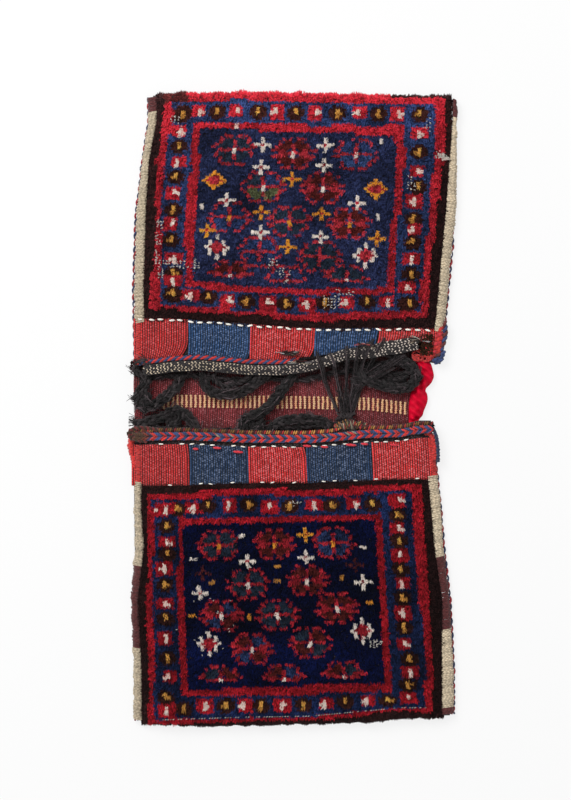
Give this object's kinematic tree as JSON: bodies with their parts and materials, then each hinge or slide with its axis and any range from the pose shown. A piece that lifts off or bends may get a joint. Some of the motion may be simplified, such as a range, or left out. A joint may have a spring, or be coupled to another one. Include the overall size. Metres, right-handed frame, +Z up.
{
  "type": "chanteh bag",
  "caption": "Small woven double saddlebag with two pile-faced pouches, tapestry mouths, goat hair closing loops and a flat bridge between them.",
  "frame": {"origin": "middle of the bag's outline on the surface that it lies on", "axes": "+Z up out of the pile faces, +Y along the length towards the upper pouch, +X across"},
  "size_m": [0.3938, 0.7554, 0.023],
  "materials": {
    "madder_weave": "weft-faced plain weave, matt wool",
    "red_pile": "knotted wool pile, soft sheen",
    "blue_pile": "knotted wool pile, soft sheen",
    "navy_pile": "knotted wool pile, soft sheen",
    "brown_pile": "knotted dark wool pile",
    "ivory_wrap": "wrapped wool selvedge",
    "red_blue_cord": "red and blue overcast wool",
    "red_tapestry": "ribbed slit tapestry",
    "blue_tapestry": "ribbed slit tapestry",
    "mottled_braid": "flat braid of dark and ivory wool",
    "orange_wool": "wool floats",
    "crimson_cotton": "soft plain cotton cloth",
    "goat_hair": "coarse fuzzy goat hair"
  },
  "bodies": {
    "root": {"woven_strip": "madder_weave", "upper_front": "madder_weave", "upper_outer_guard": "red_pile", "upper_border": "blue_pile", "upper_inner_guard": "red_pile", "upper_field": "navy_pile", "upper_mouth_pile": "brown_pile", "upper_left_edge_pile": "brown_pile", "upper_left_selvedge": "ivory_wrap", "upper_left_seam": "red_blue_cord", "upper_right_edge_pile": "brown_pile", "upper_right_selvedge": "ivory_wrap", "upper_right_seam": "red_blue_cord", "upper_kilim_square_1": "red_tapestry", "upper_kilim_square_2": "blue_tapestry", "upper_kilim_square_3": "red_tapestry", "upper_kilim_square_4": "blue_tapestry", "upper_kilim_square_5": "red_tapestry", "lower_front": "madder_weave", "lower_outer_guard": "red_pile", "lower_border": "blue_pile", "lower_inner_guard": "red_pile", "lower_field": "navy_pile", "lower_mouth_pile": "brown_pile", "lower_left_edge_pile": "brown_pile", "lower_left_selvedge": "ivory_wrap", "lower_left_seam": "red_blue_cord", "lower_right_edge_pile": "brown_pile", "lower_right_selvedge": "ivory_wrap", "lower_right_seam": "red_blue_cord", "lower_kilim_square_1": "red_tapestry", "lower_kilim_square_2": "blue_tapestry", "lower_kilim_square_3": "red_tapestry", "lower_kilim_square_4": "blue_tapestry", "lower_kilim_square_5": "red_tapestry", "upper_mouth_twist": "red_blue_cord", "upper_mouth_braid": "mottled_braid", "lower_mouth_braid": "red_blue_cord", "lower_mouth_edging": "orange_wool", "bridge_brocade": "orange_wool", "bridge_binding": "crimson_cotton", "left_mouth_loop": "goat_hair", "middle_mouth_loop": "goat_hair", "long_mouth_loop": "goat_hair", "lower_left_loop": "goat_hair", "lower_middle_loop": "goat_hair", "right_mouth_loop": "goat_hair", "tie_yarn_1": "goat_hair", "tie_yarn_2": "goat_hair", "tie_yarn_3": "goat_hair", "tie_yarn_4": "goat_hair", "tie_yarn_5": "goat_hair", "tie_yarn_6": "goat_hair", "tie_wrap": "goat_hair"}
  },
  "joints": []
}
